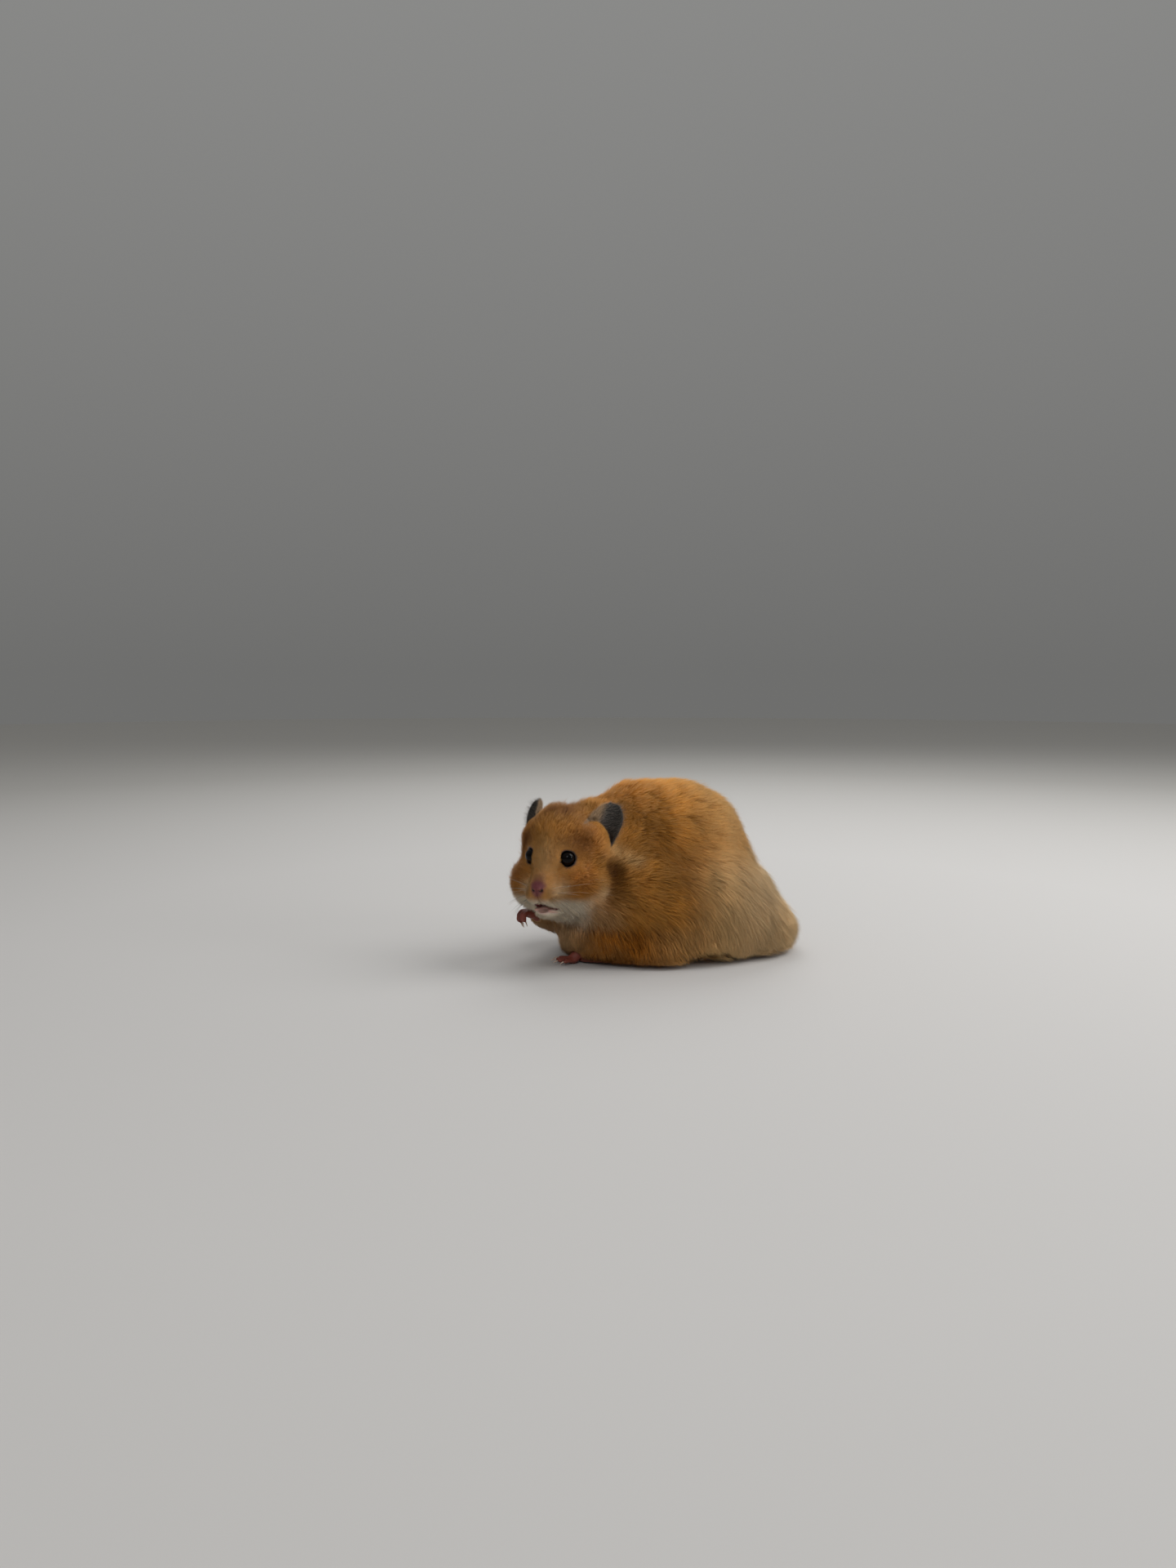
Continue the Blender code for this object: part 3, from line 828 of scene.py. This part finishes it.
def turned(lie, normals, angle):
    """The directions turned along the skin by an angle for each."""
    return unit(lie * np.cos(angle)[:, None] + np.cross(normals, lie) * np.sin(angle)[:, None])


def risen(roots, lie, normals, angle, length):
    """Where a straight hair from each root ends that rises from the skin by an angle."""
    return roots + (lie * np.cos(angle)[:, None] + normals * np.sin(angle)[:, None]) * length[:, None]


def flow(points, normals):
    """Which way the hair lies: from the nose back over the head, then back and down over the trunk."""
    places = to_head(points)
    along, height = points[:, 1] / MM, points[:, 2] / MM
    away = places - (15, 0, -13)
    away[:, 2] -= 0.3 * np.linalg.norm(away, axis=1) * step(places[:, 2], 2, -12)
    on_head = unit(away) @ HEAD_AXES
    back = 1 - 0.6 * step(height, 34, 12)
    down = 0.1 + 0.9 * step(height, 62, 16) + 0.5 * step(along, 10, 45) + 0.5 * step(height, 20, 6)
    out = 0.15 * np.sign(points[:, 0])
    on_trunk = unit(np.stack((out, back, -down), 1))
    lie = on_trunk + (on_head - on_trunk) * head_share(places)[:, None]
    turn = np.radians(20 * waves(points, 16, 11) + 9 * waves(points, 5, 12))
    return turned(laid(lie, normals), normals, turn)


def nearest(guides, points):
    tree = KDTree(len(guides))
    for index, guide in enumerate(guides):
        tree.insert(guide, index)
    tree.balance()
    return np.array([tree.find(point)[1] for point in points])


RINGS = {  # for each number of rings: where they are along a lock, and how wide
    3: ((0.0, 0.36, 0.72), (0.7, 1.0, 0.7)),
    2: ((0.0, 0.5), (0.8, 0.95)),
    1: ((0.0,), (1.0,)),
}
LOCK_TRIANGLES = {3: 16, 2: 10, 1: 4}
PIECE_TRIANGLES = 195000  # at most, in one piece
PATCH = 0.003  # each lock's share of the unwrap
PAST_BOX = (0.5, 2, 1.8)  # millimetres by which hairs may pass the box of the solids


def lock_faces(rings):
    """The faces of one closed, three-sided, pointed lock, as corner numbers, and where each starts."""
    tip = 3 * rings
    faces = [(0, 1, 2)]
    for ring in range(rings - 1):
        for side in range(3):
            a, b = 3 * ring + side, 3 * ring + (side + 1) % 3
            faces.append((a, a + 3, b + 3, b))
    last = 3 * (rings - 1)
    faces += [(last + side, tip, last + (side + 1) % 3) for side in range(3)]
    corners = np.array([corner for face in faces for corner in face])
    starts = np.cumsum([0] + [len(face) for face in faces[:-1]])
    return corners, starts


def lock_mesh(name, rings, roots, middles, tips, normals, widths, at_root, at_middle, at_tip, patches):
    """One mesh of many locks. Each follows a curve from its root by its middle to its tip, with a colour
    for each of the three; patches are the roots' places on the unwrap."""
    count = len(roots)
    colours = (at_root, at_middle, at_tip)
    shares, swells = RINGS[rings]
    verts = np.empty((count, 3 * rings + 1, 3))
    tints = np.empty((count, 3 * rings + 1, 3))
    for ring, (share, swell) in enumerate(zip(shares, swells)):
        spine = roots * (1 - share) ** 2 + middles * 2 * share * (1 - share) + tips * share**2
        ahead = unit((middles - roots) * (1 - share) + (tips - middles) * share)
        side = unit(np.cross(ahead, normals))
        out = np.cross(side, ahead)
        for corner in range(3):
            angle = math.radians(90 + 120 * corner)
            offset = side * math.cos(angle) + out * 0.6 * math.sin(angle)
            verts[:, 3 * ring + corner] = spine + offset * (widths * swell / 2)[:, None]
            tints[:, 3 * ring + corner] = mix_three(colours, share)
    verts[:, -1] = tips
    tints[:, -1] = colours[2]
    verts[:, :, 2] = np.maximum(verts[:, :, 2], 0.1 * MM)
    corners, starts = lock_faces(rings)
    per_lock = len(corners)
    mesh = bpy.data.meshes.new(name)
    mesh.vertices.add(count * verts.shape[1])
    mesh.vertices.foreach_set("co", verts.astype(np.float32).ravel())
    order = (corners[None] + np.arange(count)[:, None] * verts.shape[1]).ravel()
    mesh.loops.add(len(order))
    mesh.loops.foreach_set("vertex_index", order.astype(np.int32))
    begin = (starts[None] + np.arange(count)[:, None] * per_lock).ravel()
    mesh.polygons.add(len(begin))
    mesh.polygons.foreach_set("loop_start", begin.astype(np.int32))
    mesh.update(calc_edges=True)
    ring_share = np.array([share for share in (*shares, 1.0) for _ in range(3)][:3 * rings + 1])
    across = np.array([(corner % 3) / 2 for corner in range(3 * rings + 1)])
    local = np.stack((across - 0.5, ring_share - 0.5), 1)[corners] * PATCH
    layer = mesh.uv_layers.new(name="OFBake")
    layer.data.foreach_set("uv", (patches[:, None] + local[None]).astype(np.float32).ravel())
    paint(mesh, tints.reshape(-1, 3))
    mesh.shade_smooth()
    mesh.materials.append(HAIR)
    return mesh


def mix_three(colours, share):
    root, middle_colour, tip = colours
    if share < 0.5:
        return root + (middle_colour - root) * share * 2
    return middle_colour + (tip - middle_colour) * (share * 2 - 1)


def coat_piece(name, mesh):
    piece = bpy.data.objects.new(name, mesh)
    bpy.context.scene.collection.objects.link(piece)
    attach(piece, "root")


def gathered(roots, middles, tips, share, stride):
    """Leans each hair towards one hair in every stride of them, the nearest, so that they form locks."""
    guides = np.arange(0, len(roots), stride)
    lead = guides[nearest(roots[guides], roots)]
    middles = middles + (middles[lead] - middles) * (0.4 * share)[:, None]
    tips = tips + (tips[lead] - tips) * share[:, None]
    return middles, tips, lead


def hair_colours(draw, roots, tips, lock, broad, on_head):
    """Each hair's colours at root, middle and tip: the markings, uneven from hair to hair, darker at the root.
    """
    count = len(roots)
    base = coat_colour(roots + 0.6 * (tips - roots))
    bright = draw.normal(1, 0.07, count) + 0.07 * draw.normal(0, 1, count)[lock]
    bright += 0.09 * waves(roots, 5, 14)
    bright += 0.09 * draw.normal(0, 1, count)[broad] * (1 - 0.6 * on_head)
    base = base * np.clip(bright, 0.6, 1.4)[:, None]
    pale = np.clip(0.22 + 0.2 * draw.normal(0, 1, count), 0, 0.7) * (1 - 0.4 * on_head)
    pale *= step(base[:, 0], UMBER[0], AMBER[0])
    # The darker, more saturated roots: partly the hair's own darker base, partly painted shade deep in the
    # coat.
    return 0.8 * base**1.2, base, blend_in(base * 1.08, FAWN, pale)


def grow(ground, shell, density, count, seed, width, fine, loose, stretch):
    """Hairs all over the ground, out to the shell of the coat and beyond it by a few millimetres, as loose
    says. They lean together into fine locks, each of as many hairs as fine says, and these into broad ones."""
    draw = np.random.default_rng(seed + 1)
    roots, normals, patches, chosen = ground.roots(density, count, seed)
    lie = flow(roots, normals)
    on_head = head_share(to_head(roots))
    length = ground.length[chosen] * stretch * draw.uniform(0.7, 1.12, count) * MM
    height = roots[:, 2] / MM
    tousled = spiky(to_head(roots)) + 0.5 * step(height, 55, 68) * (1 - on_head)
    under = depth_under(shell, roots)
    reach = under - 0.8 + loose + 2 * tousled
    lift = np.arcsin(np.clip(reach / length * MM, 0.2, 0.6 + 0.15 * tousled))
    stray = draw.uniform(0, 1, count) ** 5
    lift += np.radians(draw.normal(0, 6, count) + 6 * waves(roots, 7, 13) + 16 * tousled + 14 * stray)
    turn = np.radians(draw.normal(0, 11, count) + 9 * waves(roots, 8, 15) * (1 - on_head))
    lie = turned(lie, normals, turn)
    middles = risen(roots, lie, normals, lift * 1.9, 0.5 * length)
    tips = risen(roots, lie, normals, lift, length)
    tips[:, 2] -= 0.1 * length * (1 - on_head)
    draw_in = draw.uniform(0.4, 1, count)
    middles, tips, broad = gathered(roots, middles, tips, 0.34 * draw_in * (1 - 0.5 * on_head), fine * 12)
    middles, tips, lock = gathered(roots, middles, tips, 0.42 * draw_in * (1 - 0.4 * on_head), fine)
    free = loose - 0.4 + 1.4 * draw.uniform(0, 1, count) ** 2
    free += 1.4 * stray * (1 - 0.6 * on_head) + 2.5 * tousled
    free = np.maximum(free, 0.8 - under)
    off_floor = draw.uniform(0.8, 2.8, count) * MM
    tips[:, 2] = np.maximum(tips[:, 2], off_floor)
    middles[:, 2] = np.maximum(middles[:, 2], off_floor)
    keep_in(shell, middles, free)
    keep_in(shell, tips, free)
    colours = hair_colours(draw, roots, tips, lock, broad, on_head)
    widths = width * MM * draw.uniform(0.75, 1.25, count) * (0.6 + 0.4 * step(length / MM, 1, 6))
    reached = np.maximum(np.abs(tips), np.abs(middles))
    inside = (reached < np.array(CAD_BOX[1]) + np.array(PAST_BOX) * MM).all(1)
    locks = (roots - normals * 0.3 * MM, middles, tips, normals, widths, *colours, patches)
    return [values[inside] for values in locks]


def grow_ears(ground, count, seed):
    """Short fur up the backs of the ears and on their front folds, a pale fringe round them and long fine
    hairs across their hollows."""
    draw = np.random.default_rng(seed + 1)
    places = to_head(ground.centre)
    facing = hollow_side(places, ground.facing)
    fold = on_fold(places)
    density = 0.5 + 0.7 * step(facing, 0.3, 0) + step(np.abs(facing), 0.4, 0.2) + 2.5 * fold
    roots, normals, patches, chosen = ground.roots(ground.on_ear * density, count, seed)
    facing, side, fold = facing[chosen], np.sign(places[chosen, 1]), fold[chosen]
    inner = step(facing, 0.1, 0.3) * (1 - 0.7 * fold)
    rim = step(np.abs(facing), 0.45, 0.25)
    lie = EAR_UP + (0.9 * EAR_ACROSS - 0.45 * EAR_UP) * inner[:, None]
    lie[:, 1] *= side
    lie = laid(lie @ HEAD_AXES, normals)
    lie = turned(lie, normals, np.radians(draw.normal(0, 12, count)))
    length = (1.1 + 1.9 * inner + 0.3 * rim + 1.5 * fold) * draw.uniform(0.7, 1.2, count) * MM
    lift = np.radians(9 + 9 * inner + 8 * rim + 6 * fold + draw.normal(0, 5, count))
    middles = risen(roots, lie, normals, lift * 1.7, 0.5 * length)
    tips = risen(roots, lie, normals, lift, length)
    pale = 0.15 + 0.35 * inner + 0.5 * rim + 0.6 * fold
    base = blend_in(np.tile(SLATE * 1.6, (count, 1)), EAR_PALE, pale)
    base = blend_in(base, BUFF * 0.75, 0.7 * fold)
    base = base * draw.uniform(0.45, 1.25, count)[:, None]
    widths = 0.1 * MM * draw.uniform(0.8, 1.3, count)
    colours = (base * 0.8, base, base * 1.15)
    return roots - normals * 0.15 * MM, middles, tips, normals, widths, *colours, patches


def in_pieces(name, rings, locks):
    """Splits locks into pieces from front to back, none of them too large, and makes them objects."""
    order = np.argsort(locks[0][:, 1], kind="stable")
    parts = math.ceil(len(order) * LOCK_TRIANGLES[rings] / PIECE_TRIANGLES)
    for number, part in enumerate(np.array_split(order, parts)):
        label = f"{name}_{number + 1}"
        coat_piece(label, lock_mesh(label, rings, *[values[part] for values in locks]))


def growth(ground):
    """Where hair grows on the ground: not on bare parts, lids, nose or lips, nor under the belly."""
    places = to_head(ground.centre)
    height = ground.centre[:, 2] / MM
    grown = step(ground.near, 0.3, 1.0)
    grown *= step(from_nose(places), 2.6, 3.8)
    grown *= step(from_eye(places), EYE_RADIUS + 0.7, EYE_RADIUS + 1.0)
    grown *= step(height, 1.5, 3.5) * (1 - step(height, 14, 8) * step(ground.facing[:, 2], -0.35, -0.75))
    grown *= 1 - step(mouth_share(places) + lower_lip(places), 0.15, 0.5)
    return grown * (1 - spot(places, LOWER_LIP, LOWER_LIP_REACH))


def build_coat(skin, shell, trees):
    unwrap(skin)
    ground = Ground(skin, trees)
    on_head = head_share(to_head(ground.centre))
    grown = growth(ground)
    thick = grown / np.maximum(ground.length, 1.2) ** 0.8
    on_body = thick * (1 - on_head) * (0.55 + 0.45 * step(ground.centre[:, 2] / MM, 10, 25))
    share = 1
    for name, rings, density, count, seed, width, fine, loose, stretch in (
        ("coat_body", 2, on_body, 60000, 21, 0.26, 14, 0.5, 1.0),
        ("fine_body", 1, on_body, 112000, 22, 0.2, 25, 0.8, 1.0),
        ("coat_head", 1, thick * on_head, 75000, 31, 0.16, 20, 0.5, 1.0),
        ("guard_hairs", 2, grown * (1 - 0.7 * on_head), 12000, 41, 0.1, 2, 1.8, 1.15),
    ):
        hairs = grow(ground, shell, density, int(count * share), seed, width, fine, loose, stretch)
        in_pieces(name, rings, hairs)
    in_pieces("ear_hair", 1, grow_ears(ground, int(8000 * share), 61))


# ---------------------------------------------------------------- eyes and whiskers


def build_eye(name):
    """A bead with a slightly bulging cornea and a faint brown ring in its near-black iris."""
    centre = middle(name)
    bpy.ops.object.select_all(action="DESELECT")
    bpy.ops.mesh.primitive_uv_sphere_add(
        segments=56, ring_count=36, radius=EYE_RADIUS * MM, location=centre,
    )
    piece = bpy.context.object
    bpy.ops.object.transform_apply(location=True, rotation=True, scale=True)
    side = 1 if name.endswith("left") else -1
    looks = from_head(EYE_LOOKS * (1, side, 1)) - np.array(EYE_LINE)
    looks /= np.linalg.norm(looks)
    points = places_of(piece.data)
    reach = points - np.array(centre)
    facing = reach @ looks / (EYE_RADIUS * MM)
    bulge = 1 + 0.035 * step(facing, 0.62, 0.9)
    put_places(piece.data, np.array(centre) + reach * bulge[:, None])
    ring = step(facing, 0.55, 0.75) * step(facing, 0.95, 0.85)
    paint(piece.data, blend_in(np.tile(EYE_BLACK, (len(points), 1)), EYE_BROWN, 0.6 * ring))
    piece.data.shade_smooth()
    piece.data.materials.append(WET_EYE)
    piece.name = piece.data.name = name.replace("eye", "eyeball")
    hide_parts(name)
    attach(piece, "root")


def build_whiskers():
    """Rows of whiskers on each pad, longest at the back, sweeping out and back."""
    draw = np.random.default_rng(51)
    roots, middles, tips = [], [], []
    for side in (1, -1):
        for row in range(4):
            for column in range(5):
                back, out, down = 1.6 * column, 0.85 * column, 1.4 * row + 0.2 * column
                root = np.array((9.0 - back, side * (4.6 + out), -11.8 - down))
                length = 12 + 1.9 * column + draw.uniform(-1.5, 1.5)
                rise = 0.3 - 0.26 * row + draw.uniform(-0.08, 0.08)
                ahead = unit(np.array([(0.15 - 0.12 * column, side * 0.75, rise)]))[0]
                roots.append(root)
                middles.append(root + ahead * length * 0.5)
                tips.append(root + (ahead + (-0.2, side * -0.05, -0.15)) * length)
    roots, middles, tips = (from_head(np.array(these)) for these in (roots, middles, tips))
    count = len(roots)
    tint = np.where(draw.uniform(0, 1, count)[:, None] < 0.6, PALE_WHISKER, DARK_WHISKER)
    mesh = lock_mesh(
        "whiskers", 3, roots, middles, tips, np.tile((0.0, 0.0, 1.0), (count, 1)),
        np.full(count, 0.13 * MM), tint, tint, tint, np.full((count, 2), 0.5),
    )
    mesh.materials.clear()
    mesh.materials.append(WHISKER)
    coat_piece("whiskers", mesh)


# ---------------------------------------------------------------- claws, floor, light, camera

LIGHTS_LOOK_AT = (0, 0, 0.035)
CAMERA_AZIMUTH = math.radians(78)
CAMERA_PITCH = math.radians(5.54)
CAMERA_FROM_EYES = Vector((480.4, -85.9, 78)) * MM
SENSOR_WIDTH = 36  # millimetres
FOCAL_LENGTH = 27.07  # millimetres


def finish_claws():
    """The claws stay as they are, in their own horn."""
    for name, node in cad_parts.items():
        if name.startswith("claw_"):
            node.data.materials.clear()
            node.data.materials.append(CLAW)


def build_stage():
    """A wide pale floor."""
    bpy.ops.object.select_all(action="DESELECT")
    bpy.ops.mesh.primitive_circle_add(vertices=96, radius=2.6, fill_type="NGON")
    floor = bpy.context.object
    floor.name = "floor"
    floor.data.materials.append(paper_material())


def build_light():
    """Soft light from above the animal's rump, weaker light from its right and from behind, a little from
    its left, and a dim room."""
    world = bpy.data.worlds.new("studio")
    bpy.context.scene.world = world
    world.use_nodes = True
    tree = world.node_tree
    ground = tree.nodes["Background"]
    place = add(tree, "ShaderNodeTexCoord")
    split = add(tree, "ShaderNodeSeparateXYZ", [("Vector", place.outputs["Generated"])])
    ramp = add(tree, "ShaderNodeValToRGB", [("Fac", split.outputs["Z"])])
    ramp.color_ramp.elements[0].color = (*linear("#a8a8a6"), 1)
    ramp.color_ramp.elements[1].color = (*linear("#f4f4f2"), 1)
    tree.links.new(ramp.outputs["Color"], ground.inputs["Color"])
    ground.inputs["Strength"].default_value = 0.4
    lamps = {  # place in metres, size, watts
        "key": ((0.1, 0.75, 0.8), 0.8, 5.6),
        "back": ((-0.7, 0.2, 0.8), 0.8, 3.1),
        "front": ((0.9, -0.25, 0.75), 0.4, 1.6),
        "rear": ((0.6, 0.95, 0.4), 0.4, 1.5),
    }
    for name, (place, size, power) in lamps.items():
        lamp = bpy.data.lights.new(name, "AREA")
        lamp.shape = "DISK"
        lamp.size = size
        lamp.energy = power
        holder = bpy.data.objects.new(name, lamp)
        bpy.context.scene.collection.objects.link(holder)
        holder.location = place
        ahead = Vector(LIGHTS_LOOK_AT) - Vector(place)
        holder.rotation_euler = ahead.to_track_quat("-Z", "Y").to_euler()


def set_view():
    """Plain sRGB, so that the colours show as they are given."""
    bpy.context.scene.view_settings.view_transform = "Standard"


def build_camera():
    """A little above the animal, on its left side and slightly to the front."""
    looks = Vector((-math.sin(CAMERA_AZIMUTH), math.cos(CAMERA_AZIMUTH), -math.tan(CAMERA_PITCH)))
    camera = bpy.data.objects.new("camera", bpy.data.cameras.new("camera"))
    bpy.context.scene.collection.objects.link(camera)
    camera.location = EYE_LINE + CAMERA_FROM_EYES
    camera.rotation_euler = looks.to_track_quat("-Z", "Y").to_euler()
    camera.data.sensor_width = SENSOR_WIDTH
    camera.data.lens = FOCAL_LENGTH
    camera.data.clip_start = 0.01
    bpy.context.scene.camera = camera


def main():
    skin, shell, trees = build_skin()
    build_coat(skin, shell, trees)
    for name in ("eye_left", "eye_right"):
        build_eye(name)
    build_whiskers()
    finish_claws()
    build_stage()
    build_light()
    set_view()
    build_camera()


main()
